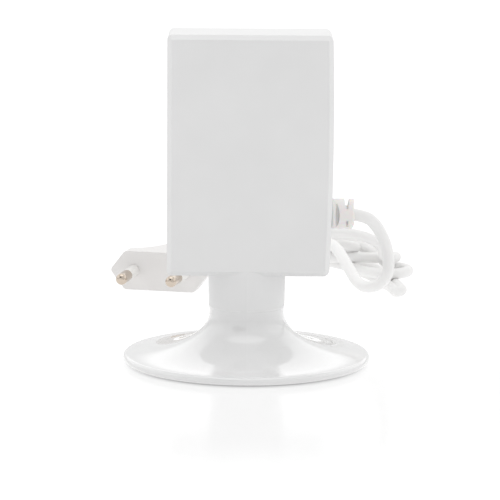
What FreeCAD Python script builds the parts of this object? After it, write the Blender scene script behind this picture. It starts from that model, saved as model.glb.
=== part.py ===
import FreeCAD, Part
import math
import os

os.makedirs("parts", exist_ok=True)

# Desktop weather station: a slim upright head on a round trumpet pedestal, fed by a round mains flex.
# Millimetres.  Origin on the table at the stem's axis, +Z up, display towards -Y, cord exit towards +Y.

# ---- head case ----
CASE_HALF_WIDTH = 12.0
CASE_FRONT = -24.6
CASE_BACK = 26.33            # the back's furthest bulge
CASE_BACK_TOP = 25.9
CASE_BACK_FOOT = 25.3
CASE_BOTTOM = 29.0
CASE_TOP = 103.25
CASE_BULGE_Z = 72.0
FRONT_CORNER = 1.5
BACK_CORNER = 2.0
SIDE_BEVEL = 1.4             # flat bevel round both broad sides
WALL = 2.0
LIP = 0.8                    # tongue along the joint of the two shells
LIP_INSET = 0.6

# ---- stem and swivel ----
STEM_TOP_R = 12.0
STEM_FOOT_R = 11.8
STEM_FOOT = 18.0
STEM_BORE_R = 9.8
SEAM_GAP = 0.12
SPIGOT_R = 6.0
SPIGOT_FOOT = 12.9
RUNNING_GAP = 0.05
BUSH_R = 7.8
BUSH_FLANGE_R = 9.4
BUSH_FLANGE_Z = 16.7
WASHER_Z = 11.8

# ---- pedestal ----
BASE_R = 38.6
RIM_THICK = 2.5
RIM_BOTTOM = 0.4
RIM_TOP = RIM_BOTTOM + RIM_THICK
RIM_EDGE_R = BASE_R - RIM_THICK / 2
NECK_R = 11.75
FLARE_TOP = 15.6
PLATE_R = 35.1
PLATE_THICK = 1.0
SHELL_WALL = 1.7
NECK_PLATE_BOTTOM = 14.0
STEP_BACK = 1.2              # keeps the stepped hollow clear of the curved skin
BALLAST_BORE = 11.0
BALLAST_GAP = 0.25
BOSS_RING_R = 15.5
FOOT_RING_R = 29.0
FOOT_COUNT = 4
SCREW_COUNT = 3

# ---- front: display and buttons ----
BEZEL_HALF = 9.4
BEZEL_LOW = 34.1
BEZEL_HIGH = 99.4
BEZEL_BACK = -21.4
BEZEL_CORNER = 1.4
FIT_GAP = 0.1                # round the bezel, in the case's opening
WINDOW_HALF = 8.0
WINDOW_LOW = 57.0
WINDOW_HIGH = 97.0
WINDOW_THICK = 1.3
WINDOW_CORNER = 0.8
WINDOW_GAP = 0.05
BUTTON_R = 2.5
BUTTON_HEIGHTS = {"button_up": 51.0, "button_mode": 44.0, "button_down": 37.0}
LCD_HALF = 8.8
LCD_LOW = 55.5
LCD_HIGH = 98.5
LCD_THICK = 1.8
LIGHT_THICK = 2.5
BOARD_THICK = 1.6
FRONT_BOARD_FACE = BEZEL_BACK + LCD_THICK + LIGHT_THICK

# ---- main board, standing in the head, parts on its +X face ----
MAIN_FACE = -6.0
MAIN_Y = (-12.0, 22.0)
MAIN_Z = (40.0, 93.0)
MAIN_SCREWS = [(-9.5, 52.0), (-9.5, 90.0), (19.5, 54.0), (19.5, 90.0)]
CASE_SCREWS = [(-10.8, 35.0), (-10.8, 97.5), (20.5, 35.0), (20.5, 97.5)]
CASE_BOSS_R = 3.0
CASE_PILOT_R = 1.35
CASE_CLEAR_R = 1.6
CASE_SINK_R = 2.9            # counterbore for the screw's head
BOARD_POST_R = 2.2
BOARD_PILOT_R = 1.05
VENT_Y = (-11.0, 3.0)
VENT_HIGH = 1.3
VENT_STEP = 2.8
VENT_COUNT = 5

# ---- mains flex, its strain relief and its plug ----
EXIT_Z = 46.9
EXIT_Y = 33.1
BOOT_R = 4.75
BOOT_Y = 26.2                # just outside the case's wall
BARB_Y = 21.2
LENS_Y = 27.35
GAP_Y = 30.85
POCKET_WEB = 3.0             # solid half width left between the hollows of the two flanks
CORD_R = 1.85
CORD_ROUTE = [
    (0.0, 27.5, 46.9), (-0.6, 35.9, 46.7), (-7.0, 40.6, 42.2), (-14.5, 44.3, 34.0), (-21.0, 45.4, 24.6),
    (-33.5, 42.4, 17.6), (-48.5, 37.0, 14.7), (-64.0, 33.4, 19.2), (-81.0, 30.4, 22.3), (-96.0, 26.5, 22.0),
    (-108.0, 19.5, 20.5), (-118.0, 9.5, 19.2),
]
TAIL_ROUTE = [
    (-174.0, 19.0, 2.9), (-181.0, 10.0, 2.6), (-183.5, -1.0, 2.6), (-180.0, -11.5, 3.6),
    (-171.5, -18.1, 6.2), (-162.06, -20.31, 6.85),
]
HANK_CORNERS = [
    (-103, 56), (-118, 64), (-130, 62), (-180, 30), (-181, 16), (-158, -10), (-129, -9), (-104, 38),
]
HANK_TOP = 22.5
HANK_ROUND = 5.0
PLUG_FACE = (-117.3, -30.8, 6.85)
PLUG_TURN = -13.2            # degrees about Z, from +X
PLUG_HALF_WIDTH = 17.9
PLUG_HALF_HEIGHT = 6.85
PLUG_FLAT = 12.6
PLUG_BLOCK = 6.0             # straight part of the body behind its face
PLUG_LENGTH = 34.0
PLUG_RELIEF = 12.0
PIN_R = 2.0
PIN_LENGTH = 19.0
PIN_GAP = 18.6
PIN_TOE_IN = 1.5             # degrees that each pin leans inwards
SLEEVE_LENGTH = 10.0
PIN_NOSE = 1.7
PIN_ROOT = 5.0               # how deep a sleeve goes into the body


def box(x, y, z):
    """A block between pairs of limits."""
    corner = FreeCAD.Vector(x[0], y[0], z[0])
    return Part.makeBox(x[1] - x[0], y[1] - y[0], z[1] - z[0], corner)


def rod(radius, start, axis, length):
    return Part.makeCylinder(radius, length, FreeCAD.Vector(*start), FreeCAD.Vector(*axis))


def ring(outer, inner, start, axis, length):
    return rod(outer, start, axis, length).cut(rod(inner, start, axis, length))


def outline(points):
    """A closed face through (first, second) pairs, already placed as 3-D points."""
    wire = Part.makePolygon([FreeCAD.Vector(*p) for p in points + points[:1]])
    return Part.Face(wire)


def turned(profile):
    """A solid of revolution about Z from (radius, height) pairs."""
    face = outline([(r, 0.0, z) for r, z in profile])
    return face.revolve(FreeCAD.Vector(0, 0, 0), FreeCAD.Vector(0, 0, 1), 360)


def round_block(x, y, z, corner):
    """A plate between pairs of limits, its four corners in the XZ plane rounded."""
    plate = box(x, y, z)
    edges = [e for e in plate.Edges if abs(e.tangentAt(e.FirstParameter).y) > 0.99]
    return plate.makeFillet(corner, edges)


def single(shape):
    """The one solid of a shape that a boolean operation has wrapped."""
    return shape.Solids[0] if len(shape.Solids) == 1 else shape


def export(shape, node):
    """Writes one node and says what it is made of."""
    shape = single(shape)
    shape.exportStep("parts/" + node + ".step")
    print(node, "solids", len(shape.Solids), "valid", shape.isValid(), "volume", round(shape.Volume, 1))


# ---------------------------------------------------------------- head case

def case_profile(inset):
    """The head's side outline, moved inwards by inset, as a face in the plane X = 0."""
    front = CASE_FRONT
    foot = FreeCAD.Vector(0, CASE_BACK_FOOT, CASE_BOTTOM)
    bulge = FreeCAD.Vector(0, CASE_BACK, CASE_BULGE_Z)
    head = FreeCAD.Vector(0, CASE_BACK_TOP, CASE_TOP)
    low = FreeCAD.Vector(0, front, CASE_BOTTOM)
    high = FreeCAD.Vector(0, front, CASE_TOP)
    edges = [
        Part.makeLine(low, foot),
        Part.Arc(foot, bulge, head).toShape(),
        Part.makeLine(head, high),
        Part.makeLine(high, low),
    ]
    wire = Part.Wire(edges)
    if inset:
        wire = wire.makeOffset2D(-inset)
    return Part.Face(wire)


def slab(inset, x):
    """The outline as a solid between two X limits."""
    solid = case_profile(inset).extrude(FreeCAD.Vector(x[1] - x[0], 0, 0))
    solid.translate(FreeCAD.Vector(x[0], 0, 0))
    return solid


def upright(edge, back):
    """Whether an edge is a corner of the outline, at the back or at the front."""
    along = edge.tangentAt(edge.FirstParameter)
    middle = edge.CenterOfMass
    return abs(along.x) > 0.99 and (middle.y > 0) == back


def case_outside():
    body = slab(0.0, (-CASE_HALF_WIDTH, CASE_HALF_WIDTH))
    body = body.makeFillet(FRONT_CORNER, [e for e in body.Edges if upright(e, False)])
    body = body.makeFillet(BACK_CORNER, [e for e in body.Edges if upright(e, True)])
    sides = [e for e in body.Edges if abs(abs(e.CenterOfMass.x) - CASE_HALF_WIDTH) < 0.01]
    body = body.makeChamfer(SIDE_BEVEL, sides)
    stem = Part.makeCone(STEM_FOOT_R, STEM_TOP_R, CASE_BOTTOM + SIDE_BEVEL - STEM_FOOT,
                         FreeCAD.Vector(0, 0, STEM_FOOT))
    return single(body.fuse(stem).removeSplitter())


def case_inside():
    bore = rod(STEM_BORE_R, (0, 0, STEM_FOOT - 1), (0, 0, 1), CASE_BOTTOM + WALL - STEM_FOOT + 2)
    return slab(WALL, (-CASE_HALF_WIDTH + WALL, CASE_HALF_WIDTH - WALL)).fuse(bore)


def front_opening():
    half = BEZEL_HALF + FIT_GAP
    return round_block((-half, half), (CASE_FRONT - 1, CASE_FRONT + WALL + 0.5),
                       (BEZEL_LOW - FIT_GAP, BEZEL_HIGH + FIT_GAP), BEZEL_CORNER + FIT_GAP)


def plug_groove():
    """Room in the stem's foot for the flange of the stem plug."""
    return rod(STEM_BORE_R + 0.9, (0, 0, 20.0), (0, 0, 1), 2.0)


def vents():
    """Two stacks of slots in the far side, for cooling air and for the air that is measured."""
    slots = []
    outer = -CASE_HALF_WIDTH
    for low in (38.5, 82.5):
        for k in range(VENT_COUNT):
            z = low + VENT_STEP * k
            slots.append(box((outer - 1, outer + WALL + 0.5), VENT_Y, (z, z + VENT_HIGH)))
    return slots


def shell(sign):
    """One of the two moulded shells; sign is +1 for the side towards +X."""
    reach = CASE_HALF_WIDTH + 1
    half = box((0, reach) if sign > 0 else (-reach, 0), (-60, 60), (0, 120))
    part = single(case_outside().cut(case_inside()).common(half))
    tongue = slab(LIP_INSET, (-LIP, 0.0)).cut(slab(LIP_INSET + LIP, (-LIP, 0.0)))
    tongue = single(tongue.cut(rod(STEM_BORE_R + 1.5, (0, 0, 0), (0, 0, 1), CASE_BOTTOM + WALL)))
    inner = CASE_HALF_WIDTH - WALL
    if sign > 0:
        part = single(part.fuse(tongue))
    else:
        part = single(part.cut(tongue))
    for y, z in CASE_SCREWS:
        start = (-inner if sign < 0 else 0.0, y, z)
        part = single(part.fuse(rod(CASE_BOSS_R, start, (1, 0, 0), inner)))
    for y, z in CASE_SCREWS:
        if sign > 0:
            part = part.cut(rod(CASE_PILOT_R, (-1, y, z), (1, 0, 0), 8.0))
        else:
            part = part.cut(rod(CASE_CLEAR_R, (-inner - WALL - 1, y, z), (1, 0, 0), inner + WALL + 2))
            part = part.cut(rod(CASE_SINK_R, (-inner - WALL - 1, y, z), (1, 0, 0), 3.5))
    if sign < 0:
        for y, z in MAIN_SCREWS:
            post = rod(BOARD_POST_R, (-inner, y, z), (1, 0, 0), inner + MAIN_FACE - BOARD_THICK)
            part = single(part.fuse(post))
            part = part.cut(rod(BOARD_PILOT_R, (-inner + 0.6, y, z), (1, 0, 0), 4.0))
        part = part.cut(switch_slot())
        for slot in vents():
            part = part.cut(slot)
    part = part.cut(front_opening())
    part = part.cut(plug_groove())
    part = part.cut(rod(3.1, (0, CASE_BACK - WALL - 1.5, EXIT_Z), (0, 1, 0), 6.0))
    return part


def case_screws():
    screws = []
    for y, z in CASE_SCREWS:
        head = rod(2.6, (-11.6, y, z), (1, 0, 0), 2.1)
        head = head.makeFillet(0.5, [e for e in head.Edges if e.CenterOfMass.x < -11.5])
        cross = box((-12, -10.6), (y - 1.5, y + 1.5), (z - 0.3, z + 0.3))
        cross = cross.fuse(box((-12, -10.6), (y - 0.3, y + 0.3), (z - 1.5, z + 1.5)))
        screws.append(head.fuse(rod(1.3, (-9.5, y, z), (1, 0, 0), 15.5)).cut(cross))
    return Part.makeCompound(screws)


# ---------------------------------------------------------------- front: bezel, display, buttons

def front_bezel():
    plate = round_block((-BEZEL_HALF, BEZEL_HALF), (CASE_FRONT, CASE_FRONT + WALL), (BEZEL_LOW, BEZEL_HIGH),
                        BEZEL_CORNER)
    flange = box((-9.9, 9.9), (CASE_FRONT + WALL, BEZEL_BACK), (BEZEL_LOW - 2.1, BEZEL_HIGH + 1.4))
    plate = plate.fuse(flange)
    pocket = round_block((-WINDOW_HALF, WINDOW_HALF), (CASE_FRONT - 1, CASE_FRONT + WINDOW_THICK),
                         (WINDOW_LOW, WINDOW_HIGH), WINDOW_CORNER)
    through = box((-WINDOW_HALF + 1, WINDOW_HALF - 1), (CASE_FRONT - 1, BEZEL_BACK + 1),
                  (WINDOW_LOW + 1, WINDOW_HIGH - 1))
    plate = plate.cut(pocket).cut(through)
    for z in BUTTON_HEIGHTS.values():
        plate = plate.cut(rod(BUTTON_R + 0.2, (0, CASE_FRONT - 1, z), (0, 1, 0), 6.0))
    for x, z in board_posts():
        plate = plate.fuse(rod(1.7, (x, BEZEL_BACK, z), (0, 1, 0), FRONT_BOARD_FACE - BEZEL_BACK))
        plate = plate.cut(rod(0.85, (x, BEZEL_BACK + 0.5, z), (0, 1, 0), 6.0))
    return plate


def board_posts():
    return [(x, z) for x in (-6.8, 6.8) for z in (35.8, 48.5)]


def display_window():
    half = WINDOW_HALF - WINDOW_GAP
    return round_block((-half, half), (CASE_FRONT + 0.1, CASE_FRONT + WINDOW_THICK),
                       (WINDOW_LOW + WINDOW_GAP, WINDOW_HIGH - WINDOW_GAP), WINDOW_CORNER)


def lcd_glass():
    return box((-LCD_HALF, LCD_HALF), (BEZEL_BACK, BEZEL_BACK + LCD_THICK), (LCD_LOW, LCD_HIGH))


def backlight():
    start = BEZEL_BACK + LCD_THICK
    return box((-LCD_HALF, LCD_HALF), (start, start + LIGHT_THICK), (LCD_LOW, LCD_HIGH))


def display_board():
    board = box((-9.3, 9.3), (FRONT_BOARD_FACE, FRONT_BOARD_FACE + BOARD_THICK), (33.0, 99.0))
    for x, z in board_posts():
        board = board.cut(rod(0.95, (x, FRONT_BOARD_FACE - 1, z), (0, 1, 0), 4.0))
    return board


def display_screws():
    back = FRONT_BOARD_FACE + BOARD_THICK
    screws = []
    for x, z in board_posts():
        head = rod(1.5, (x, back, z), (0, 1, 0), 1.1)
        screws.append(head.fuse(rod(0.8, (x, back - 4.5, z), (0, 1, 0), 4.5)))
    return Part.makeCompound(screws)


def push_button(z):
    """A cap with a dished face, kept in by a flange behind the bezel."""
    cap = rod(BUTTON_R, (0, CASE_FRONT + 0.05, z), (0, 1, 0), 3.4)
    rim = [e for e in cap.Edges if e.CenterOfMass.y < CASE_FRONT + 1 and e.Closed]
    cap = cap.makeFillet(0.35, rim)
    cap = cap.fuse(rod(BUTTON_R + 0.6, (0, BEZEL_BACK + 0.25, z), (0, 1, 0), 0.75))
    dish = Part.makeSphere(9.0, FreeCAD.Vector(0, CASE_FRONT + 0.3 - 9.0, z))
    return cap.cut(dish)


def tact_switches():
    switches = []
    for z in BUTTON_HEIGHTS.values():
        body = box((-2.25, 2.25), (FRONT_BOARD_FACE - 1.5, FRONT_BOARD_FACE), (z - 2.25, z + 2.25))
        switches.append(body.fuse(rod(1.1, (0, FRONT_BOARD_FACE - 2.3, z), (0, 1, 0), 0.9)))
    return Part.makeCompound(switches)


# ---------------------------------------------------------------- main board and what stands on it

def main_board():
    board = box((MAIN_FACE - BOARD_THICK, MAIN_FACE), MAIN_Y, MAIN_Z)
    for y, z in MAIN_SCREWS:
        board = board.cut(rod(1.2, (MAIN_FACE - 3, y, z), (1, 0, 0), 6.0))
    return board


def board_screws():
    screws = []
    for y, z in MAIN_SCREWS:
        head = rod(1.7, (MAIN_FACE, y, z), (1, 0, 0), 1.2)
        screws.append(head.fuse(rod(1.0, (MAIN_FACE - 3.2, y, z), (1, 0, 0), 3.2)))
    return Part.makeCompound(screws)


def transformer_core():
    core = box((-3.0, 5.0), (-4.0, 14.0), (60.0, 78.0))
    for y in ((-1.5, 2.0), (8.0, 11.5)):
        core = core.cut(box((-4.0, 6.0), y, (63.0, 75.0)))
    return core


def transformer_winding():
    return box((MAIN_FACE, 8.0), (-1.5, 11.5), (63.0, 75.0)).cut(box((-3.0, 5.0), (2.0, 8.0), (60.0, 78.0)))


def capacitors():
    cans = []
    for y, z, radius, tall in ((-6.5, 57.0, 3.2, 9.0), (2.0, 54.5, 4.0, 11.0), (11.5, 54.5, 4.0, 11.0)):
        can = rod(radius, (MAIN_FACE, y, z), (1, 0, 0), tall)
        cans.append(can.makeFillet(0.6, [e for e in can.Edges if e.Closed]))
    return Part.makeCompound(cans)


def antenna_clips():
    clips = []
    for y in (-7.6, 12.0):
        clip = box((MAIN_FACE, 6.0), (y, y + 2.2), (86.5, 92.5))
        clips.append(clip.cut(rod(2.5, (3.0, y - 1, 89.5), (0, 1, 0), 6.0)))
    return Part.makeCompound(clips)


def display_ribbon():
    """A flat strip that leaves one board, turns through a quarter circle and meets the other."""
    thick = 0.3
    bend = 2.5
    centre = FreeCAD.Vector(0.5, -13.25, 72.0)
    edges = []
    for k in (-0.5, 0.5):
        r = bend + k * thick
        middle = FreeCAD.Vector(r * math.sqrt(0.5), r * math.sqrt(0.5), 0)
        start = centre + FreeCAD.Vector(r, 0, 0)
        end = centre + FreeCAD.Vector(0, r, 0)
        edges.append((start, Part.Arc(start, centre + middle, end).toShape(), end))
    inner, outer = edges
    tail = -4.0
    foot_in = FreeCAD.Vector(inner[0].x, -13.5, 72.0)
    foot_out = FreeCAD.Vector(outer[0].x, -13.5, 72.0)
    tip_in = FreeCAD.Vector(tail + 0.5, inner[2].y, 72.0)
    tip_out = FreeCAD.Vector(tail + 0.5, outer[2].y, 72.0)
    wire = Part.Wire([
        Part.makeLine(foot_in, inner[0]), inner[1], Part.makeLine(inner[2], tip_in),
        Part.makeLine(tip_in, tip_out), Part.makeLine(tip_out, outer[2]), outer[1],
        Part.makeLine(outer[0], foot_out), Part.makeLine(foot_out, foot_in),
    ])
    return Part.Face(wire).extrude(FreeCAD.Vector(0, 0, 8.0))


def mains_leads():
    return Part.makeCompound([rod(0.9, (x, 18.0, EXIT_Z), (0, 1, 0), 3.2) for x in (-1.3, 1.3)])


def switch_slot():
    """Opening for the slide knob and the shallow recess around it."""
    reach = -CASE_HALF_WIDTH
    slot = box((reach - 1, reach + WALL + 1), (7.0, 13.4), (62.0, 65.4))
    return slot.fuse(box((reach - 1, reach + 0.9), (5.0, 15.4), (60.5, 66.9)))


def switch_knob():
    knob = box((-11.8, -9.9), (7.4, 10.4), (62.4, 65.0))
    for k in range(3):
        y = 8.0 + 0.8 * k
        knob = knob.cut(box((-12, -11.5), (y, y + 0.3), (62.0, 65.5)))
    return knob


def electronics():
    """Small parts of the main board, each a node of its own."""
    coil = ring(3.6, 2.55, (3.0, -5.0, 89.5), (0, 1, 0), 12.0)
    fuse = rod(3.2, (MAIN_FACE, 18.5, 62.5), (1, 0, 0), 8.0)
    return {
        "main_board": main_board(),
        "board_screws": board_screws(),
        "transformer_core": transformer_core(),
        "transformer_winding": transformer_winding(),
        "capacitors": capacitors(),
        "mains_fuse": fuse.makeFillet(0.8, [e for e in fuse.Edges if e.Closed and e.CenterOfMass.x > 0]),
        "mains_terminal": box((MAIN_FACE, 4.0), (9.0, 18.0), (42.0, 49.5)),
        "mains_leads": mains_leads(),
        "microcontroller": box((MAIN_FACE, MAIN_FACE + 1.4), (-11.5, -4.8), (64.0, 70.7)),
        "pressure_sensor": rod(1.8, (MAIN_FACE, -8.0, 83.5), (1, 0, 0), 1.6),
        "humidity_sensor": box((MAIN_FACE, MAIN_FACE + 2.0), (-11.0, -6.0), (42.0, 47.0)),
        "buzzer": ring(4.5, 0.8, (MAIN_FACE, 2.0, 45.5), (1, 0, 0), 4.5),
        "radio_receiver": box((MAIN_FACE, MAIN_FACE + 2.2), (1.5, 11.5), (80.0, 85.0)),
        "antenna_rod": rod(2.45, (3.0, -12.0, 89.5), (0, 1, 0), 30.0),
        "antenna_coil": coil,
        "antenna_clips": antenna_clips(),
        "ribbon_socket_front": box((0.0, 6.0), (-15.5, -13.5), (71.0, 81.0)),
        "ribbon_socket_main": box((MAIN_FACE, -3.5), (-12.0, -9.5), (71.5, 80.5)),
        "display_ribbon": display_ribbon(),
        "slide_switch": box((-9.8, MAIN_FACE - BOARD_THICK), (5.0, 15.4), (61.0, 66.4)),
        "switch_knob": switch_knob(),
    }


# ---------------------------------------------------------------- swivel in the stem

def stem_plug():
    """Closes the stem's foot and carries the spigot that turns in the pedestal."""
    plug = rod(STEM_BORE_R - 0.1, (0, 0, STEM_FOOT), (0, 0, 1), 5.0)
    plug = plug.fuse(rod(STEM_BORE_R + 0.8, (0, 0, 20.0), (0, 0, 1), 2.0))
    plug = plug.fuse(rod(SPIGOT_R, (0, 0, SPIGOT_FOOT), (0, 0, 1), STEM_FOOT - SPIGOT_FOOT))
    return plug.cut(rod(2.05, (0, 0, SPIGOT_FOOT - 1), (0, 0, 1), 9.5))


def swivel_screw():
    head = rod(3.6, (0, 0, 9.2), (0, 0, 1), 2.6)
    head = head.makeFillet(0.7, [e for e in head.Edges if e.Closed and e.CenterOfMass.z < 9.5])
    slot = box((-2.0, 2.0), (-0.4, 0.4), (9.0, 10.6))
    slot = slot.fuse(box((-0.4, 0.4), (-2.0, 2.0), (9.0, 10.6)))
    return head.fuse(rod(2.0, (0, 0, WASHER_Z), (0, 0, 1), 9.0)).cut(slot)


def swivel_washer():
    return ring(8.9, 2.1, (0, 0, WASHER_Z), (0, 0, 1), SPIGOT_FOOT - WASHER_Z)


def friction_ring():
    low = SPIGOT_FOOT + 0.1
    return ring(8.9, SPIGOT_R + 0.2, (0, 0, low), (0, 0, 1), NECK_PLATE_BOTTOM - low)


def swivel_bush():
    """Flanged bush, pressed into the pedestal's neck; the stem plug rides on its flange."""
    top = STEM_FOOT - RUNNING_GAP
    bush = rod(BUSH_R, (0, 0, NECK_PLATE_BOTTOM), (0, 0, 1), top - NECK_PLATE_BOTTOM)
    bush = bush.fuse(rod(BUSH_FLANGE_R, (0, 0, BUSH_FLANGE_Z), (0, 0, 1), top - BUSH_FLANGE_Z))
    return bush.cut(rod(SPIGOT_R + RUNNING_GAP, (0, 0, 10), (0, 0, 1), 10.0))


# ---------------------------------------------------------------- pedestal

def flare():
    """The trumpet's quarter ellipse from the rim's edge up to the neck, as an edge in the XZ plane."""
    centre = FreeCAD.Vector(RIM_EDGE_R, 0, FLARE_TOP)
    curve = Part.Ellipse(centre, RIM_EDGE_R - NECK_R, FLARE_TOP - RIM_TOP)
    curve.rotate(FreeCAD.Placement(centre, FreeCAD.Rotation(FreeCAD.Vector(1, 0, 0), 90)))
    quarters = [curve.toShape(k * math.pi / 2, (k + 1) * math.pi / 2) for k in (1, 2)]
    return min(quarters, key=lambda edge: edge.CenterOfMass.z)


def pedestal_outside():
    v = FreeCAD.Vector
    top_z = STEM_FOOT - SEAM_GAP
    foot = v(RIM_EDGE_R, 0, RIM_TOP)
    under = v(RIM_EDGE_R, 0, RIM_BOTTOM)
    edges = [
        Part.makeLine(v(0, 0, RIM_BOTTOM), under),
        Part.Arc(under, v(BASE_R, 0, RIM_BOTTOM + RIM_THICK / 2), foot).toShape(),
        flare(),
        Part.makeLine(v(NECK_R, 0, FLARE_TOP), v(NECK_R, 0, top_z)),
        Part.makeLine(v(NECK_R, 0, top_z), v(0, 0, top_z)),
        Part.makeLine(v(0, 0, top_z), v(0, 0, RIM_BOTTOM)),
    ]
    face = Part.Face(Part.Wire(Part.__sortEdges__(edges)))
    return face.revolve(v(0, 0, 0), v(0, 0, 1), 360)


def pedestal_shell():
    solid = pedestal_outside().cut(pedestal_hollow())
    for x, y in ring_places(BOSS_RING_R, SCREW_COUNT, 30):
        boss = rod(2.7, (x, y, RIM_BOTTOM + PLATE_THICK), (0, 0, 1), 4.4)
        solid = solid.fuse(boss)
        solid = solid.cut(rod(1.3, (x, y, 0), (0, 0, 1), 5.4))
    solid = solid.cut(rod(PLATE_R + 0.05, (0, 0, 0), (0, 0, 1), RIM_BOTTOM + PLATE_THICK))
    solid = solid.cut(rod(BUSH_R, (0, 0, 10), (0, 0, 1), 10))
    return solid.cut(rod(BUSH_FLANGE_R + 0.05, (0, 0, BUSH_FLANGE_Z), (0, 0, 1), 5))


def hollow_height(radius):
    """How high the underside of the pedestal's skin is at a radius."""
    across = (RIM_EDGE_R - radius) / (RIM_EDGE_R - NECK_R)
    rise = (FLARE_TOP - RIM_TOP) * (1 - math.sqrt(max(0.0, 1 - across * across)))
    return RIM_TOP + rise - SHELL_WALL


def pedestal_hollow():
    """The space under the skin: it follows the trumpet in a few straight steps."""
    radii = [33.6, 29.0, 25.0, 21.0, 18.0, 15.5, 13.5]
    neck_bore = 9.9
    profile = [(0.0, RIM_BOTTOM), (radii[0], RIM_BOTTOM)]
    for radius in radii:
        profile.append((radius, hollow_height(radius + STEP_BACK)))
    profile.append((neck_bore, 11.0))
    profile.append((neck_bore, NECK_PLATE_BOTTOM))
    profile.append((0.0, NECK_PLATE_BOTTOM))
    return turned(profile)


def ring_places(radius, count, first):
    return [
        (radius * math.cos(math.radians(first + 360.0 * k / count)),
         radius * math.sin(math.radians(first + 360.0 * k / count)))
        for k in range(count)
    ]


def ballast():
    """A cast iron ring that fills the space under the skin."""
    low = RIM_BOTTOM + PLATE_THICK
    radii = [28.0, 25.0, 21.0, 18.0]
    profile = [(BALLAST_BORE, low), (28.6, low)]
    for radius in radii:
        profile.append((radius, hollow_height(radius + STEP_BACK) - BALLAST_GAP))
    profile.append((BALLAST_BORE, profile[-1][1]))
    weight = turned(profile)
    for x, y in ring_places(BOSS_RING_R, SCREW_COUNT, 30):
        weight = weight.cut(rod(3.1, (x, y, 0), (0, 0, 1), 12))
    return weight


def bottom_plate():
    plate = rod(PLATE_R, (0, 0, RIM_BOTTOM), (0, 0, 1), PLATE_THICK)
    for x, y in ring_places(BOSS_RING_R, SCREW_COUNT, 30):
        plate = plate.cut(rod(2.5, (x, y, 0), (0, 0, 1), 3))
    return plate


def base_screws():
    screws = []
    for x, y in ring_places(BOSS_RING_R, SCREW_COUNT, 30):
        head = rod(2.4, (x, y, RIM_BOTTOM + 0.1), (0, 0, 1), PLATE_THICK - 0.1)
        slot = box((x - 1.4, x + 1.4), (y - 0.25, y + 0.25), (0, RIM_BOTTOM + 0.6))
        slot = slot.fuse(box((x - 0.25, x + 0.25), (y - 1.4, y + 1.4), (0, RIM_BOTTOM + 0.6)))
        shank = rod(1.2, (x, y, RIM_BOTTOM + PLATE_THICK), (0, 0, 1), 3.8)
        screws.append(head.fuse(shank).cut(slot))
    return Part.makeCompound(screws)


def foot_pads():
    return Part.makeCompound([
        rod(4.5, (x, y, 0), (0, 0, 1), RIM_BOTTOM) for x, y in ring_places(FOOT_RING_R, FOOT_COUNT, 45)
    ])


# ---------------------------------------------------------------- flex, strain relief, plug

def across_boot(points):
    """A prism through the whole width of the boot from (y, height above the exit's axis) pairs."""
    reach = BOOT_R + 1.4
    face = outline([(-reach, y, EXIT_Z + z) for y, z in points])
    return face.extrude(FreeCAD.Vector(2 * reach, 0, 0))


def notch():
    """The tapering gap across the top of the boot, narrow at its root."""
    root = 0.3
    rim = 0.9
    return across_boot([(GAP_Y - root, 2.0), (GAP_Y + root, 2.0), (GAP_Y + rim, 5.5), (GAP_Y - rim, 5.5)])


def relief_pockets():
    """Hollows in both flanks: a tall lens behind the first ring, and a small slot below the gap."""
    curve = 9.0
    far = LENS_Y + 1.2
    lens = across_boot([(LENS_Y, -3.6), (far, -3.6), (far, 3.6), (LENS_Y, 3.6)])
    lens = lens.common(rod(curve, (-6, far - curve, EXIT_Z), (1, 0, 0), 12))
    near = GAP_Y - 0.3
    beyond = GAP_Y + 0.4
    low = across_boot([(near, -3.5), (beyond, -3.5), (beyond, -1.7), (near, -1.7)])
    web = box((-POCKET_WEB, POCKET_WEB), (BOOT_Y, EXIT_Y + 1), (EXIT_Z - 6, EXIT_Z + 6))
    return lens.fuse(low).cut(web)


def strain_relief():
    """Ribbed boot with an open gap on top and hollows in its flanks, and a barb inside the wall."""
    boot = rod(BOOT_R, (0, BOOT_Y, EXIT_Z), (0, 1, 0), EXIT_Y - BOOT_Y)
    boot = boot.makeFillet(0.35, [e for e in boot.Edges if e.Closed])
    heel = across_boot([(EXIT_Y + 0.1, -2.4), (EXIT_Y + 0.1, -5.4), (EXIT_Y - 1.1, -5.4)])
    boot = boot.cut(notch()).cut(relief_pockets()).cut(heel)
    boot = boot.cut(rod(CORD_R, CORD_ROUTE[0], (0, 1, 0), 10))
    neck = rod(3.0, (0, BARB_Y, EXIT_Z), (0, 1, 0), 5.5)
    barb = rod(BOOT_R, (0, BARB_Y, EXIT_Z), (0, 1, 0), 2.6)
    return single(boot.fuse(neck).fuse(barb))


def tube(points, radius):
    """A round tube along straight runs joined by tangent arcs; prints each arc's radius."""
    route = [FreeCAD.Vector(*p) for p in points]
    here = route[0]
    edges = []
    bends = []
    for before, corner, after in zip(route, route[1:], route[2:]):
        come = corner - before
        leave = after - corner
        half = come.getAngle(leave) / 2
        back = 0.45 * min(come.Length, leave.Length)
        bends.append(round(back / math.tan(half), 1))
        into = FreeCAD.Vector(come).normalize()
        out = FreeCAD.Vector(leave).normalize()
        start = corner - into * back
        end = corner + out * back
        inward = (out - into).normalize()
        middle = corner + inward * (back * (1 - math.cos(half)) / math.sin(half))
        edges.append(Part.makeLine(here, start))
        edges.append(Part.Arc(start, middle, end).toShape())
        here = end
    edges.append(Part.makeLine(here, route[-1]))
    path = Part.Wire(edges)
    first = (route[1] - route[0]).normalize()
    section = Part.Wire([Part.Circle(route[0], first, radius).toShape()])
    solid = path.makePipeShell([section], True, False)
    print("tube length", round(path.Length, 1), "radii", bends,
          "volume ratio", round(solid.Volume / (path.Length * math.pi * radius ** 2), 4))
    return solid


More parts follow.
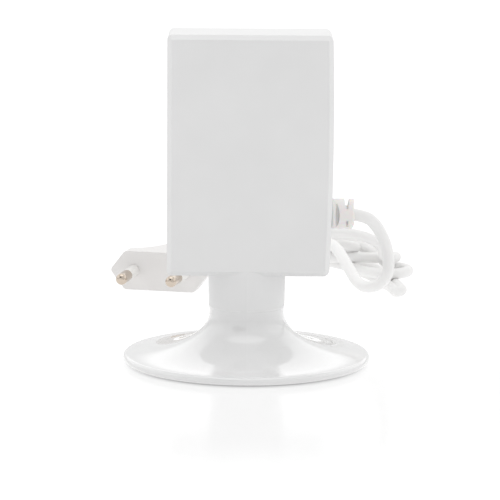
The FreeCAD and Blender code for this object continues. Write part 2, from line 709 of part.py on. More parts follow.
def cord_hank():
    """The outside of the folded flex: a fan of flat loops lying on the table."""
    face = outline([(x, y, 0.0) for x, y in HANK_CORNERS])
    hank = face.extrude(FreeCAD.Vector(0, 0, HANK_TOP))
    corners = [e for e in hank.Edges if abs(e.tangentAt(e.FirstParameter).z) > 0.99]
    return hank.makeFillet(HANK_ROUND, corners)


def placed(shape):
    """From the plug's own frame, pins along +X and face at the origin, to where it lies."""
    shape.rotate(FreeCAD.Vector(0, 0, 0), FreeCAD.Vector(0, 0, 1), PLUG_TURN)
    shape.translate(FreeCAD.Vector(*PLUG_FACE))
    return shape


def plug_section(x, half_width, flat, half_height):
    """The flattened hexagon at a station along the plug."""
    return Part.makePolygon([FreeCAD.Vector(*p) for p in [
        (x, half_width, 0), (x, flat, half_height), (x, -flat, half_height),
        (x, -half_width, 0), (x, -flat, -half_height), (x, flat, -half_height), (x, half_width, 0),
    ]])


def plug_body():
    block = Part.Face(plug_section(0, PLUG_HALF_WIDTH, PLUG_FLAT, PLUG_HALF_HEIGHT))
    block = block.extrude(FreeCAD.Vector(-PLUG_BLOCK, 0, 0))
    stations = [
        (-PLUG_BLOCK, PLUG_HALF_WIDTH, PLUG_FLAT, PLUG_HALF_HEIGHT),
        (-12.0, 13.2, 8.0, 6.4),
        (-20.0, 9.0, 5.0, 5.9),
        (-PLUG_LENGTH, 7.0, 4.0, 5.0),
    ]
    grip = Part.makeLoft([plug_section(*s) for s in stations], True, False)
    body = block.fuse(grip).removeSplitter()
    long_edges = [e for e in body.Edges if abs(e.CenterOfMass.x + PLUG_BLOCK / 2) < 0.2]
    body = body.makeFillet(1.6, long_edges)
    for y in (-PIN_GAP / 2, PIN_GAP / 2):
        body = body.cut(rod(PIN_R, (-PIN_ROOT, y, 0), (1, 0, 0), PIN_ROOT + 1))
    return placed(body)


def pin_axis(sign):
    """Where a pin starts at the face and the way it points, leaning a little inwards."""
    lean = math.radians(PIN_TOE_IN)
    return (0.0, sign * PIN_GAP / 2, 0.0), (math.cos(lean), -sign * math.sin(lean), 0.0)


def plug_pins():
    pins = []
    for sign in (-1, 1):
        base, way = pin_axis(sign)
        start = [b + SLEEVE_LENGTH * w for b, w in zip(base, way)]
        tip = rod(PIN_R, start, way, PIN_LENGTH - SLEEVE_LENGTH)
        far = start[0] + (PIN_LENGTH - SLEEVE_LENGTH) * way[0]
        nose = [e for e in tip.Edges if e.Closed and e.CenterOfMass.x > far - 1]
        pins.append(tip.makeFillet(PIN_NOSE, nose))
    return placed(Part.makeCompound(pins))


def pin_sleeves():
    sleeves = []
    for sign in (-1, 1):
        base, way = pin_axis(sign)
        sleeve = rod(PIN_R, base, way, SLEEVE_LENGTH)
        root = rod(PIN_R, (-PIN_ROOT, base[1], 0), (1, 0, 0), PIN_ROOT)
        sleeves.append(sleeve.fuse(root))
    return placed(Part.makeCompound(sleeves))


def plug_relief():
    start = -PLUG_LENGTH - PLUG_RELIEF
    relief = Part.makeCone(3.0, 4.2, PLUG_RELIEF, FreeCAD.Vector(start, 0, 0), FreeCAD.Vector(1, 0, 0))
    for k in range(3):
        x = start + 2.5 + 3.2 * k
        relief = relief.cut(ring(6.0, 2.7, (x, 0, 0), (1, 0, 0), 1.2))
    return placed(relief)


# ---------------------------------------------------------------- all nodes

NODES = {
    "case_right": shell(1),
    "case_left": shell(-1),
    "case_screws": case_screws(),
    "front_bezel": front_bezel(),
    "display_window": display_window(),
    "lcd_glass": lcd_glass(),
    "backlight": backlight(),
    "display_board": display_board(),
    "display_screws": display_screws(),
    "tact_switches": tact_switches(),
    "stem_plug": stem_plug(),
    "swivel_screw": swivel_screw(),
    "swivel_washer": swivel_washer(),
    "friction_ring": friction_ring(),
    "swivel_bush": swivel_bush(),
    "pedestal_shell": pedestal_shell(),
    "ballast": ballast(),
    "bottom_plate": bottom_plate(),
    "base_screws": base_screws(),
    "foot_pads": foot_pads(),
    "strain_relief": strain_relief(),
    "mains_cord": tube(CORD_ROUTE, CORD_R),
    "cord_hank": cord_hank(),
    "cord_tail": tube(TAIL_ROUTE, CORD_R),
    "plug_body": plug_body(),
    "plug_pins": plug_pins(),
    "pin_sleeves": pin_sleeves(),
    "plug_relief": plug_relief(),
}
NODES.update({name: push_button(z) for name, z in BUTTON_HEIGHTS.items()})
NODES.update(electronics())

for node, shape in NODES.items():
    export(shape, node)
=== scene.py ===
import math
import bmesh
import bpy
from mathutils import Matrix, Vector


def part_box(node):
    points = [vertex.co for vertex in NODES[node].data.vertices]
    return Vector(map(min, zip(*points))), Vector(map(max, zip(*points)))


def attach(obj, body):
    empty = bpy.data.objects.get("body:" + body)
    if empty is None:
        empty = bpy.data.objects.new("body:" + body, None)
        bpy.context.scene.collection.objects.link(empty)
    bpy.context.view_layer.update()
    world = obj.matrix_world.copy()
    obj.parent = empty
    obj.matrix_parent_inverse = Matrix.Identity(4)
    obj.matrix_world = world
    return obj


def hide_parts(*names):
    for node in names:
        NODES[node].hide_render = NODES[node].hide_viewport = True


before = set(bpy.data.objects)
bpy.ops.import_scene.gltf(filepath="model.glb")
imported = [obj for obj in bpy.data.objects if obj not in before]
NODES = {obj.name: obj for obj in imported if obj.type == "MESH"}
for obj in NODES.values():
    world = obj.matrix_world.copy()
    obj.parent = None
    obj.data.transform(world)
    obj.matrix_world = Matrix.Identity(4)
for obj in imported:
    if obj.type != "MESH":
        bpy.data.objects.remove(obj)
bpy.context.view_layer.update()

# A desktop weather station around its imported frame. Metres; +Z up, display towards -Y, plain side towards +X.

MM = 0.001
BUTTONS = ("button_up", "button_mode", "button_down")

# ------------------------------------------------------------------ sizes

CORD_THICK = 3.8 * MM

# Where the flex runs before and after its folded part, in millimetres, as in the part's source.
CORD_ROUTE = [
    (0.0, 27.5, 46.9), (-0.6, 35.9, 46.7), (-7.0, 40.6, 42.2), (-14.5, 44.3, 34.0), (-21.0, 45.4, 24.6),
    (-33.5, 42.4, 17.6), (-48.5, 37.0, 14.7), (-64.0, 33.4, 19.2), (-81.0, 30.4, 22.3), (-96.0, 26.5, 22.0),
    (-108.0, 19.5, 20.5), (-118.0, 9.5, 19.2),
]
TAIL_ROUTE = [
    (-174.0, 19.0, 2.9), (-181.0, 10.0, 2.6), (-183.5, -1.0, 2.6), (-180.0, -11.5, 3.6),
    (-171.5, -18.1, 6.2), (-162.06, -20.31, 6.85),
]

# The folded part goes from fold to fold. Each is (x, y, heading of its tip in degrees from +Y towards +X,
# width, height where the flex comes in, height where it leaves, side: 1 if it comes in on the right),
# in millimetres. Folds near +Y show beside the head, those near -Y are behind it.
FOLDS = [
    (-126.5, -1.0, 180, 15.0, 18.9, 18.4, -1),
    (-129.9, 48.2, 0, 9.6, 11.6, 9.3, 1),
    (-140.2, -3.0, 180, 11.0, 9.3, 11.0, -1),
    (-138.8, 34.5, 5, 9.0, 13.9, 10.8, 1),
    (-149.5, -1.0, 180, 12.0, 7.0, 10.0, -1),
    (-129.3, 51.0, 4, 12.8, 5.9, 5.6, -1),
    (-163.5, 1.0, 180, 11.0, 5.6, 4.4, -1),
    (-109.0, 53.0, 76, 2.0, 2.6, 1.9, -1),
]
# The places that a run passes where it is not straight, under the index of the fold that it leaves.
BENDS = {
    0: [
        (-131.5, 18.0, 18.9), (-131.0, 30.0, 18.8), (-130.5, 38.0, 18.6), (-129.0, 44.5, 17.0),
        (-126.6, 48.4, 14.0),
    ],
    4: [(-149.0, 20.0, 13.4), (-143.0, 31.0, 14.0), (-140.5, 38.5, 13.5), (-138.5, 46.0, 10.2)],
    5: [
        (-122.5, 45.0, 5.8), (-130.0, 39.5, 5.8), (-141.0, 34.0, 5.8), (-151.0, 27.0, 5.6),
        (-157.0, 14.0, 5.6),
    ],
    6: [
        (-170.0, 14.0, 4.0), (-166.0, 27.0, 5.3), (-158.0, 37.0, 5.6), (-147.0, 46.5, 3.9),
        (-137.0, 50.3, 1.95), (-128.5, 51.9, 1.9), (-120.0, 52.9, 2.3),
    ],
    7: [
        (-118.0, 50.6, 1.9), (-126.1, 48.6, 1.9), (-136.8, 45.5, 1.9), (-145.0, 42.7, 1.9),
        (-155.0, 38.3, 1.9), (-163.0, 34.5, 1.9),
    ],
}
FOLD_STEPS = 8
RUN_STEPS = 4


# ------------------------------------------------------------------ camera

CAMERA_PLACE = (0.907, 0.0, 0.1934)
CAMERA_LENS = 213.34
SENSOR_WIDTH = 36.0
# The camera looks along -X, turned by these angles in degrees.
CAMERA_PITCH = -9.89
CAMERA_YAW = -0.06
CAMERA_ROLL = 0.38


def make_camera():
    data = bpy.data.cameras.new("view")
    data.sensor_width = SENSOR_WIDTH
    data.lens = CAMERA_LENS
    data.clip_start = 0.01
    data.clip_end = 50.0
    camera = bpy.data.objects.new("view", data)
    bpy.context.scene.collection.objects.link(camera)
    level = Matrix(((0, 0, 1), (1, 0, 0), (0, 1, 0))).to_4x4()
    pitch = Matrix.Rotation(math.radians(CAMERA_PITCH), 4, "X")
    yaw = Matrix.Rotation(math.radians(CAMERA_YAW), 4, "Y")
    roll = Matrix.Rotation(math.radians(CAMERA_ROLL), 4, "Z")
    camera.matrix_world = Matrix.Translation(CAMERA_PLACE) @ level @ yaw @ pitch @ roll
    bpy.context.scene.camera = camera


# ------------------------------------------------------------------ mesh help

def new_object(name, mesh, body):
    piece = bpy.data.objects.new(name, mesh)
    bpy.context.scene.collection.objects.link(piece)
    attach(piece, body)
    return piece


# ------------------------------------------------------------------ the flex

def fold_points(fold):
    """Points of half a turn round the tip of one fold, in millimetres."""
    x, y, heading, width, height_in, height_out, side = fold
    along = Vector((math.sin(math.radians(heading)), math.cos(math.radians(heading)), 0.0))
    right = Vector((along.y, -along.x, 0.0))
    points = []
    for step in range(FOLD_STEPS + 1):
        share = step / FOLD_STEPS
        turn = math.pi * share
        place = Vector((x, y, height_in + (height_out - height_in) * share))
        points.append(place + (right * side * math.cos(turn) + along * math.sin(turn)) * width / 2.0)
    return points


def folded_points():
    """The folds in turn, with the runs between them."""
    points = []
    for number, fold in enumerate(FOLDS):
        points += fold_points(fold)
        if number in BENDS:
            points += [Vector(place) for place in BENDS[number]]
        elif number + 1 < len(FOLDS):
            start = points[-1]
            end = fold_points(FOLDS[number + 1])[0]
            points += [start.lerp(end, step / RUN_STEPS) for step in range(1, RUN_STEPS)]
    return [tuple(point) for point in points]


def make_flex():
    """The flex as one smooth line. Its thickness is on the points, where the piece's bounds count it."""
    curve = bpy.data.curves.new("mains_flex", "CURVE")
    curve.dimensions = "3D"
    curve.resolution_u = 10
    curve.bevel_depth = 1.0
    curve.bevel_resolution = 6
    curve.use_fill_caps = True
    route = CORD_ROUTE + folded_points() + TAIL_ROUTE
    spline = curve.splines.new("NURBS")
    spline.points.add(len(route) - 1)
    for point, (x, y, z) in zip(spline.points, route):
        point.co = (x * MM, y * MM, z * MM, 1.0)
        point.radius = CORD_THICK / 2.0
    spline.order_u = 3
    spline.use_endpoint_u = True
    flex = new_object("mains_flex", curve, "head")
    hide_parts("mains_cord", "cord_hank", "cord_tail")
    x, y, z = CORD_ROUTE[0]
    curve.materials.append(moulded("flex_pvc_white", (0.83, 0.825, 0.818), 0.42, 1300.0, 0.004))


# ------------------------------------------------------------------ materials

def principled(name, color, roughness, metal=0.0):
    material = bpy.data.materials.new(name)
    material.use_nodes = True
    shader = material.node_tree.nodes["Principled BSDF"]
    shader.inputs["Base Color"].default_value = (*color, 1.0)
    shader.inputs["Roughness"].default_value = roughness
    shader.inputs["Metallic"].default_value = metal
    return material, shader


def add_node(material, kind, **values):
    node = material.node_tree.nodes.new(kind)
    for key, value in values.items():
        node.inputs[key.replace("_", " ")].default_value = value
    return node


def stretched(material, stretch):
    """Object coordinates, pulled out along the axes that have a small factor."""
    place = add_node(material, "ShaderNodeTexCoord")
    mapping = add_node(material, "ShaderNodeMapping", Scale=stretch)
    material.node_tree.links.new(place.outputs["Object"], mapping.inputs["Vector"])
    return mapping.outputs["Vector"]


def tinted(material, shader, factor, color, spread):
    """Lets the colour vary a little, darker and lighter, with a pattern."""
    links = material.node_tree.links
    ramp = add_node(material, "ShaderNodeValToRGB")
    ramp.color_ramp.elements[0].position = 0.3
    ramp.color_ramp.elements[1].position = 0.7
    for element, shift in zip(ramp.color_ramp.elements, (1.0 - spread, 1.0 + spread)):
        element.color = (*[min(1.0, part * shift) for part in color], 1.0)
    links.new(factor, ramp.inputs["Fac"])
    links.new(ramp.outputs["Color"], shader.inputs["Base Color"])


def embossed(material, shader, height, depth):
    """Bumps from a pattern, depth millimetres high."""
    links = material.node_tree.links
    bump = add_node(material, "ShaderNodeBump", Strength=1.0, Distance=depth * MM)
    links.new(height, bump.inputs["Height"])
    links.new(bump.outputs["Normal"], shader.inputs["Normal"])


def moulded(name, color, roughness, grain=900.0, depth=0.004, spread=0.012, metal=0.0, stretch=(1, 1, 1)):
    """Plastic, rubber or metal with a fine grain, depth millimetres high, and a slightly uneven colour."""
    material, shader = principled(name, color, roughness, metal)
    place = stretched(material, stretch)
    fine = add_node(material, "ShaderNodeTexNoise", Scale=grain, Detail=4.0)
    broad = add_node(material, "ShaderNodeTexNoise", Scale=grain / 22.0, Detail=2.0)
    material.node_tree.links.new(place, fine.inputs["Vector"])
    material.node_tree.links.new(place, broad.inputs["Vector"])
    embossed(material, shader, fine.outputs["Fac"], depth)
    tinted(material, shader, broad.outputs["Fac"], color, spread)
    return material


def banded(name, color, roughness, pitch, axis, depth=0.05, spread=0.2, metal=0.0):
    """Wires, ribs or turns side by side along an axis, a pitch apart in millimetres."""
    material, shader = principled(name, color, roughness, metal)
    wave = add_node(material, "ShaderNodeTexWave", Scale=math.pi / (10.0 * pitch * MM), Distortion=0.0)
    wave.bands_direction = axis
    place = add_node(material, "ShaderNodeTexCoord")
    material.node_tree.links.new(place.outputs["Object"], wave.inputs["Vector"])
    embossed(material, shader, wave.outputs["Fac"], depth)
    tinted(material, shader, wave.outputs["Fac"], color, spread)
    return material


def board_material(name):
    """Green solder mask with copper tracks under it."""
    material, shader = principled(name, (0.02, 0.16, 0.06), 0.35)
    place = stretched(material, (1, 1, 1))
    tracks = add_node(material, "ShaderNodeTexBrick", Scale=260.0, Mortar_Size=0.012)
    tracks.inputs["Color1"].default_value = (0.016, 0.13, 0.05, 1.0)
    tracks.inputs["Color2"].default_value = (0.02, 0.17, 0.065, 1.0)
    tracks.inputs["Mortar"].default_value = (0.07, 0.30, 0.12, 1.0)
    turn = add_node(material, "ShaderNodeVectorRotate", Angle=math.pi / 2.0)
    turn.rotation_type = "Y_AXIS"
    links = material.node_tree.links
    links.new(place, turn.inputs["Vector"])
    links.new(turn.outputs["Vector"], tracks.inputs["Vector"])
    links.new(tracks.outputs["Color"], shader.inputs["Base Color"])
    embossed(material, shader, tracks.outputs["Fac"], 0.02)
    return material


def display_material(name):
    """Reflective liquid crystal: pale grey green with a fine grid."""
    material, shader = principled(name, (0.42, 0.47, 0.41), 0.3)
    place = stretched(material, (1, 1, 1))
    grid = add_node(material, "ShaderNodeTexChecker", Scale=3000.0)
    grid.inputs["Color1"].default_value = (0.40, 0.455, 0.395, 1.0)
    grid.inputs["Color2"].default_value = (0.44, 0.485, 0.425, 1.0)
    material.node_tree.links.new(place, grid.inputs["Vector"])
    material.node_tree.links.new(grid.outputs["Color"], shader.inputs["Base Color"])
    return material


def clear_material(name):
    """Tinted acrylic window with a faint orange-peel surface."""
    material, shader = principled(name, (0.94, 0.95, 0.95), 0.03)
    shader.inputs["Transmission Weight"].default_value = 1.0
    shader.inputs["IOR"].default_value = 1.49
    place = stretched(material, (1, 1, 1))
    peel = add_node(material, "ShaderNodeTexNoise", Scale=300.0, Detail=1.0)
    material.node_tree.links.new(place, peel.inputs["Vector"])
    embossed(material, shader, peel.outputs["Fac"], 0.002)
    return material


def glossed(material):
    """A clear polished skin over the material."""
    shader = material.node_tree.nodes["Principled BSDF"]
    shader.inputs["Coat Weight"].default_value = 1.0
    shader.inputs["Coat Roughness"].default_value = 0.02
    return material


def waxy(material):
    """Soft plastic that lets some warm light through its thin walls."""
    shader = material.node_tree.nodes["Principled BSDF"]
    shader.inputs["Subsurface Weight"].default_value = 0.4
    shader.inputs["Subsurface Radius"].default_value = (1.0, 0.55, 0.35)
    shader.inputs["Subsurface Scale"].default_value = 1.5 * MM
    return material


def assign(material, *names):
    for name in names:
        NODES[name].data.materials.clear()
        NODES[name].data.materials.append(material)


WHITE = (0.80, 0.80, 0.80)
PEDESTAL_WHITE = (0.775, 0.775, 0.775)


def make_white_materials():
    assign(moulded("case_satin_white", WHITE, 0.42, 1500.0, 0.003), "case_right", "case_left")
    assign(glossed(moulded("pedestal_gloss_white", PEDESTAL_WHITE, 0.06, 500.0, 0.0003)), "pedestal_shell")
    assign(moulded("stem_white", WHITE, 0.3, 900.0, 0.002), "stem_plug", "swivel_bush")
    assign(waxy(moulded("boot_soft_white", (0.85, 0.83, 0.82), 0.5, 1300.0, 0.006)),
           "strain_relief", "plug_relief")
    assign(moulded("plug_satin_white", (0.78, 0.765, 0.755), 0.4, 1200.0, 0.005), "plug_body")
    assign(moulded("sleeve_white", (0.80, 0.79, 0.77), 0.3, 900.0, 0.002), "pin_sleeves")
    assign(moulded("button_satin_white", (0.77, 0.77, 0.77), 0.4, 1500.0, 0.003), *BUTTONS)
    assign(moulded("bottom_white", (0.74, 0.74, 0.74), 0.55, 900.0, 0.01), "bottom_plate")
    assign(moulded("bush_acetal", (0.86, 0.86, 0.83), 0.35, 900.0, 0.002), "friction_ring", "antenna_clips")


def make_display_materials():
    assign(moulded("bezel_black", (0.018, 0.018, 0.02), 0.38, 1600.0, 0.006, spread=0.1), "front_bezel")
    assign(clear_material("window_clear"), "display_window")
    assign(display_material("lcd_grey_green"), "lcd_glass")
    assign(moulded("backlight_white", (0.85, 0.86, 0.88), 0.5, 400.0, 0.01), "backlight")


def make_metal_and_rubber():
    assign(moulded("pin_nickel", (0.60, 0.52, 0.44), 0.09, 700.0, 0.001, spread=0.04, metal=1.0,
                   stretch=(1, 1, 0.2)), "plug_pins")
    assign(moulded("screw_steel", (0.55, 0.55, 0.56), 0.28, 800.0, 0.004, spread=0.06, metal=1.0,
                   stretch=(1, 1, 0.1)),
           "case_screws", "base_screws", "swivel_screw", "swivel_washer", "display_screws", "board_screws",
           "slide_switch", "pressure_sensor")
    assign(moulded("ballast_iron", (0.11, 0.11, 0.12), 0.7, 700.0, 0.05, spread=0.15, metal=0.8), "ballast")
    assign(moulded("pad_rubber", (0.03, 0.03, 0.03), 0.8, 1100.0, 0.02, spread=0.15), "foot_pads")


def make_board_materials():
    assign(board_material("board_green"), "display_board", "main_board")
    assign(moulded("switch_black", (0.02, 0.02, 0.02), 0.45, 1200.0, 0.006, spread=0.1),
           "switch_knob", "tact_switches", "microcontroller", "radio_receiver", "buzzer")
    assign(banded("core_steel", (0.3, 0.3, 0.31), 0.45, 0.5, "Z", 0.06, 0.2, metal=0.9), "transformer_core")
    assign(banded("winding_tape", (0.75, 0.55, 0.08), 0.4, 1.6, "Z", 0.04, 0.1), "transformer_winding")
    assign(moulded("capacitor_sleeve", (0.03, 0.05, 0.12), 0.35, 700.0, 0.004, spread=0.1), "capacitors")
    assign(moulded("fuse_brown", (0.16, 0.06, 0.03), 0.4, 700.0, 0.004, spread=0.1), "mains_fuse")
    assign(moulded("terminal_green", (0.03, 0.3, 0.12), 0.45, 800.0, 0.006, spread=0.06), "mains_terminal")
    assign(banded("lead_copper", (0.62, 0.28, 0.14), 0.35, 0.3, "Z", 0.03, 0.2, metal=1.0), "mains_leads")
    assign(moulded("sensor_white", (0.8, 0.8, 0.78), 0.5, 900.0, 0.01, spread=0.03), "humidity_sensor")
    assign(moulded("ferrite_grey", (0.045, 0.045, 0.05), 0.6, 900.0, 0.02, spread=0.15), "antenna_rod")
    assign(banded("coil_copper", (0.6, 0.27, 0.12), 0.3, 0.35, "Y", 0.08, 0.25, metal=1.0), "antenna_coil")
    assign(moulded("socket_white", (0.78, 0.76, 0.7), 0.45, 900.0, 0.006, spread=0.03),
           "ribbon_socket_front", "ribbon_socket_main")
    assign(banded("ribbon_grey", (0.42, 0.43, 0.45), 0.5, 0.64, "Z", 0.08, 0.2), "display_ribbon")


# ------------------------------------------------------------------ drawing in millimetres

ROUND_STEPS = 24
# How far back from its ends a bar has its full width and its points, in halves of that width.
BAR_GAP = 1.15
BAR_TIP = 0.15
SEGMENTS = {
    "0": "abcdef", "1": "bc", "2": "abged", "3": "abgcd", "4": "fgbc",
    "5": "afgcd", "6": "afgedc", "7": "abc", "8": "abcdefg", "9": "abcdfg",
}


def flat_shape(mesh, outline, thick, lift=0.0):
    """A thin plate with this outline of (x, z) pairs, standing on y = -lift and facing -Y."""
    front = [mesh.verts.new((x, -lift - thick, z)) for x, z in outline]
    back = [mesh.verts.new((x, -lift, z)) for x, z in outline]
    count = len(outline)
    mesh.faces.new(front)
    mesh.faces.new(list(reversed(back)))
    for k in range(count):
        mesh.faces.new((front[k], back[k], back[(k + 1) % count], front[(k + 1) % count]))


def bar(mesh, start, end, width, thick):
    """A segment with pointed ends, from one (x, z) to another."""
    (x0, z0), (x1, z1) = start, end
    length = math.hypot(x1 - x0, z1 - z0)
    ux, uz = (x1 - x0) / length, (z1 - z0) / length
    half = width / 2.0
    near = (x0 + ux * BAR_GAP * half, z0 + uz * BAR_GAP * half)
    far = (x1 - ux * BAR_GAP * half, z1 - uz * BAR_GAP * half)
    outline = [
        (x0 + ux * BAR_TIP * half, z0 + uz * BAR_TIP * half),
        (near[0] - uz * half, near[1] + ux * half),
        (far[0] - uz * half, far[1] + ux * half),
        (x1 - ux * BAR_TIP * half, z1 - uz * BAR_TIP * half),
        (far[0] + uz * half, far[1] - ux * half),
        (near[0] + uz * half, near[1] - ux * half),
    ]
    flat_shape(mesh, outline, thick)


def digit(mesh, char, x, z, width, height, stroke, thick):
    """A seven-segment digit with its lower left corner at x, z."""
    right, middle, top = x + width, z + height / 2.0, z + height
    ends = {
        "a": ((x, top), (right, top)),
        "b": ((right, middle), (right, top)),
        "c": ((right, z), (right, middle)),
        "d": ((x, z), (right, z)),
        "e": ((x, z), (x, middle)),
        "f": ((x, middle), (x, top)),
        "g": ((x, middle), (right, middle)),
    }
    for segment in SEGMENTS[char]:
        bar(mesh, *ends[segment], stroke, thick)


def on_circle(x, z, radius, angle):
    return (x + radius * math.cos(angle), z + radius * math.sin(angle))


def disc(mesh, x, z, radius, thick, lift=0.0):
    angles = [2.0 * math.pi * step / ROUND_STEPS for step in range(ROUND_STEPS)]
    flat_shape(mesh, [on_circle(x, z, radius, angle) for angle in angles], thick, lift)


def hoop(mesh, x, z, outer, inner, thick):
    for step in range(ROUND_STEPS):
        first = 2.0 * math.pi * step / ROUND_STEPS
        second = 2.0 * math.pi * (step + 1) / ROUND_STEPS
        flat_shape(mesh, [
            on_circle(x, z, inner, first), on_circle(x, z, outer, first),
            on_circle(x, z, outer, second), on_circle(x, z, inner, second),
        ], thick)


def finish_mesh(mesh, origin, name, body, material):
    """A drawing in millimetres becomes a piece in metres, with its zero point at the origin."""
    mesh.transform(Matrix.Translation(origin) @ Matrix.Scale(MM, 4))
    bmesh.ops.recalc_face_normals(mesh, faces=mesh.faces)
    data = bpy.data.meshes.new(name)
    mesh.to_mesh(data)
    mesh.free()
    data.materials.append(material)
    new_object(name, data, body)


# ------------------------------------------------------------------ the display

# In millimetres: x from the middle of the window, z from its foot.
INK = 0.12
# Text, left edge, foot, a digit's width and height, stroke, pitch.
FIGURES = (
    ("235", -6.4, 18.4, 3.0, 6.4, 0.75, 4.3),
    ("48", -1.2, 11.3, 2.0, 4.0, 0.52, 3.0),
    ("1028", -6.0, 4.0, 2.1, 4.4, 0.55, 3.2),
)
# x, z and radius, or outer and inner radius.
POINT = (1.4, 18.4, 0.5)
DEGREE_SIGN = (6.6, 24.3, 0.75, 0.42)
DROP = (-5.4, 12.6, 1.2, 0.85)
DROP_TIP = ((-4.45, 13.2), (-5.4, 15.6), (-6.35, 13.2))
RULES = (10.0, 17.2, 26.6)
RULE_HALF = 7.0
RULE_WIDTH = 0.15
SUN = (2.4, 34.6, 1.7)
RAYS = 8
RAY_START = 2.2
RAY_END = 3.5
RAY_WIDTH = 0.4
CLOUD = ((-4.6, 30.4, 1.5), (-2.6, 31.2, 2.0), (-0.6, 30.4, 1.5))


def draw_figures(mesh):
    """Temperature, humidity with a drop, and air pressure, with a rule over each."""
    for text, left, foot, width, height, stroke, pitch in FIGURES:
        for place, char in enumerate(text):
            digit(mesh, char, left + place * pitch, foot, width, height, stroke, INK)
    disc(mesh, *POINT, INK)
    hoop(mesh, *DEGREE_SIGN, INK)
    hoop(mesh, *DROP, INK)
    flat_shape(mesh, DROP_TIP, INK)
    for z in RULES:
        top = z + RULE_WIDTH
        flat_shape(mesh, [(-RULE_HALF, z), (RULE_HALF, z), (RULE_HALF, top), (-RULE_HALF, top)], INK)


def draw_weather(mesh):
    """A sun and, in front of it, a cloud."""
    disc(mesh, *SUN, INK)
    for ray in range(RAYS):
        angle = 2.0 * math.pi * ray / RAYS
        start = on_circle(SUN[0], SUN[1], RAY_START, angle)
        end = on_circle(SUN[0], SUN[1], RAY_END, angle)
        bar(mesh, start, end, RAY_WIDTH, INK)
    for x, z, radius in CLOUD:
        disc(mesh, x, z, radius, INK, lift=INK)


def make_display():
    """The dark segments, standing on the liquid crystal."""
    low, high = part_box("display_window")
    origin = ((low.x + high.x) / 2.0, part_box("lcd_glass")[0].y, low.z)
    mesh = bmesh.new()
    draw_figures(mesh)
    draw_weather(mesh)
    ink = moulded("lcd_ink", (0.012, 0.014, 0.016), 0.4, 900.0, 0.002, spread=0.1)
    finish_mesh(mesh, origin, "display_segments", "head", ink)


# ------------------------------------------------------------------ signs and seam

# In millimetres. The seam's heights are from the top of the pedestal.
SIGN = 1.0
SIGN_SHARE = 0.6
SIGN_THICK = 0.04
SEAM_STEPS = 96
SEAM_INSIDE = 11.2
SEAM_OUTSIDE = 11.77
SEAM_FOOT = -0.05
SEAM_HEAD = 0.11


def make_button_marks():
    """A printed sign on each button: up, mode and down."""
    ink = moulded("sign_grey", (0.12, 0.12, 0.13), 0.5, 900.0, 0.002, spread=0.1)
    for name in BUTTONS:
        mesh = bmesh.new()
        if name == "button_mode":
            hoop(mesh, 0.0, 0.0, SIGN, SIGN_SHARE * SIGN, SIGN_THICK)
        else:
            way = SIGN if name == "button_up" else -SIGN
            flat_shape(mesh, [(-SIGN, -SIGN_SHARE * way), (SIGN, -SIGN_SHARE * way), (0.0, way)], SIGN_THICK)
        low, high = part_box(name)
        origin = ((low.x + high.x) / 2.0, low.y, (low.z + high.z) / 2.0)
        finish_mesh(mesh, origin, name + "_sign", name, ink)


def make_seam_ring():
    """The pale inside of the swivel's seam: a thin ring just within the two skins, fixed to the pedestal."""
    corners = (
        (SEAM_OUTSIDE, SEAM_FOOT), (SEAM_OUTSIDE, SEAM_HEAD),
        (SEAM_INSIDE, SEAM_HEAD), (SEAM_INSIDE, SEAM_FOOT),
    )
    mesh = bmesh.new()
    rings = []
    for radius, z in corners:
        angles = [2.0 * math.pi * step / SEAM_STEPS for step in range(SEAM_STEPS)]
        rings.append([mesh.verts.new((*on_circle(0.0, 0.0, radius, angle), z)) for angle in angles])
    for one, two in zip(rings, rings[1:] + rings[:1]):
        for step in range(SEAM_STEPS):
            after = (step + 1) % SEAM_STEPS
            mesh.faces.new((one[step], one[after], two[after], two[step]))
    origin = (0.0, 0.0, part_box("pedestal_shell")[1].z)
    material = moulded("seam_white", (0.85, 0.85, 0.85), 0.4, 900.0, 0.001)
    finish_mesh(mesh, origin, "seam_ring", "pedestal", material)


# ------------------------------------------------------------------ studio

# The light from each direction. X and Z are those of the direction, towards the camera and up.
ROOM_BACK = 0.88
ROOM_FRONT = 0.85
ROOM_X = (-0.2, 0.8)
CEILING = 0.8
CEILING_Z = (0.84, 0.97)
SOFT_BOX = 0.4
SOFT_BOX_X = (0.1, 0.7)
SOFT_BOX_FOOT_Z = (0.21, 0.29)
SOFT_BOX_TOP_Z = (0.6, 0.8)
# A dark stand, up and to one side of the camera, that the polished pedestal mirrors.
STAND_WAY = (0.71, -0.35, 0.61)
STAND_EDGE = (0.955, 0.975)
STAND_LEFT = 0.12

# The floor, in metres. It glows a little with painted light that keeps it white and lights the object from
# below, but not under the pedestal, and less far ahead.
FLOOR_SIZE = 8.0
FLOOR_GLOW = 0.8
FLOOR_AHEAD = 0.35
AHEAD_X = (0.2, 0.48)
COVERED_RADIUS = (0.034, 0.038)
FLOOR_PAPER = 0.32
FLOOR_POLISH = 0.34
POLISH_ROUGHNESS = 0.16
POLISH_FROM_X = (-0.03, 0.03)
POLISH_TO_X = (0.1, 0.19)


def mapped(tree, value, ends, levels):
    """A smooth step of a value: the first level up to the first end, the second from the second end."""
    step = tree.nodes.new("ShaderNodeMapRange")
    step.interpolation_type = "SMOOTHSTEP"
    for name, number in zip(("From Min", "From Max", "To Min", "To Max"), (*ends, *levels)):
        step.inputs[name].default_value = number
    tree.links.new(value, step.inputs["Value"])
    return step.outputs["Result"]


def combined(tree, operation, first, *others):
    """The sum or product of several values."""
    result = first
    for other in others:
        node = tree.nodes.new("ShaderNodeMath")
        node.operation = operation
        tree.links.new(result, node.inputs[0])
        tree.links.new(other, node.inputs[1])
        result = node.outputs[0]
    return result


def parts_of(tree, vector):
    """The X, Y and Z of a vector."""
    split = tree.nodes.new("ShaderNodeSeparateXYZ")
    tree.links.new(vector, split.inputs[0])
    return split.outputs


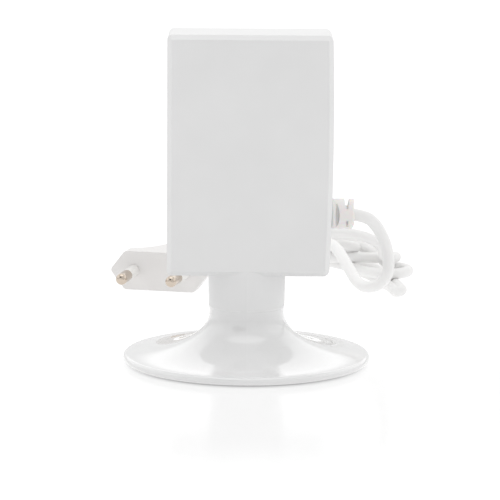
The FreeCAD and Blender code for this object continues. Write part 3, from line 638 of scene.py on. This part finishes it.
def make_world():
    """A pale room, bright from straight above and in a band of soft boxes behind and beside the object."""
    world = bpy.data.worlds.new("studio")
    bpy.context.scene.world = world
    world.use_nodes = True
    tree = world.node_tree
    background = tree.nodes["Background"]
    background.inputs["Color"].default_value = (1.0, 1.0, 1.0, 1.0)
    way = tree.nodes.new("ShaderNodeTexCoord").outputs["Generated"]
    part = parts_of(tree, way)
    room = mapped(tree, part["X"], ROOM_X, (ROOM_BACK, ROOM_FRONT))
    ceiling = mapped(tree, part["Z"], CEILING_Z, (0.0, CEILING))
    behind = mapped(tree, part["X"], SOFT_BOX_X, (SOFT_BOX, 0.0))
    lower = mapped(tree, part["Z"], SOFT_BOX_FOOT_Z, (0.0, 1.0))
    upper = mapped(tree, part["Z"], SOFT_BOX_TOP_Z, (1.0, 0.0))
    band = combined(tree, "MULTIPLY", behind, lower, upper)
    light = combined(tree, "ADD", room, ceiling, band)
    aim = tree.nodes.new("ShaderNodeVectorMath")
    aim.operation = "DOT_PRODUCT"
    aim.inputs[1].default_value = STAND_WAY
    tree.links.new(way, aim.inputs[0])
    stand = mapped(tree, aim.outputs["Value"], STAND_EDGE, (1.0, STAND_LEFT))
    tree.links.new(combined(tree, "MULTIPLY", light, stand), background.inputs["Strength"])


def floor_glow(tree, part):
    """How strongly each place of the floor glows with painted light: none under the pedestal, and less far
    ahead.
    """
    flat = tree.nodes.new("ShaderNodeCombineXYZ")
    tree.links.new(part["X"], flat.inputs["X"])
    tree.links.new(part["Y"], flat.inputs["Y"])
    distance = tree.nodes.new("ShaderNodeVectorMath")
    distance.operation = "LENGTH"
    tree.links.new(flat.outputs[0], distance.inputs[0])
    covered = mapped(tree, distance.outputs["Value"], COVERED_RADIUS, (0.0, 1.0))
    ahead = mapped(tree, part["X"], AHEAD_X, (FLOOR_GLOW, FLOOR_AHEAD))
    return combined(tree, "MULTIPLY", covered, ahead)


def floor_material():
    """White card that glows with painted light, with a faint polish just in front of the object."""
    material = bpy.data.materials.new("floor_white")
    material.use_nodes = True
    tree = material.node_tree
    tree.nodes.clear()
    output = tree.nodes.new("ShaderNodeOutputMaterial")
    place = tree.nodes.new("ShaderNodeNewGeometry").outputs["Position"]
    part = parts_of(tree, place)
    # The glow: painted light from the floor itself, not a lamp.
    glow = tree.nodes.new("ShaderNodeEmission")
    tree.links.new(floor_glow(tree, part), glow.inputs["Strength"])
    paper = tree.nodes.new("ShaderNodeBsdfDiffuse")
    paper.inputs["Color"].default_value = (FLOOR_PAPER, FLOOR_PAPER, FLOOR_PAPER, 1.0)
    card = tree.nodes.new("ShaderNodeAddShader")
    tree.links.new(glow.outputs[0], card.inputs[0])
    tree.links.new(paper.outputs[0], card.inputs[1])
    polish = tree.nodes.new("ShaderNodeBsdfGlossy")
    polish.inputs["Roughness"].default_value = POLISH_ROUGHNESS
    start = mapped(tree, part["X"], POLISH_FROM_X, (0.0, 1.0))
    end = mapped(tree, part["X"], POLISH_TO_X, (FLOOR_POLISH, 0.0))
    mix = tree.nodes.new("ShaderNodeMixShader")
    tree.links.new(combined(tree, "MULTIPLY", end, start), mix.inputs["Fac"])
    tree.links.new(card.outputs[0], mix.inputs[1])
    tree.links.new(polish.outputs[0], mix.inputs[2])
    tree.links.new(mix.outputs[0], output.inputs["Surface"])
    return material


def make_floor():
    bpy.ops.mesh.primitive_plane_add(size=FLOOR_SIZE)
    floor = bpy.context.object
    floor.name = "floor"
    floor.data.materials.append(floor_material())


def main():
    make_camera()
    make_flex()
    make_white_materials()
    make_display_materials()
    make_metal_and_rubber()
    make_board_materials()
    make_display()
    make_button_marks()
    make_seam_ring()
    make_world()
    make_floor()
    bpy.context.scene.view_settings.view_transform = "Standard"


main()
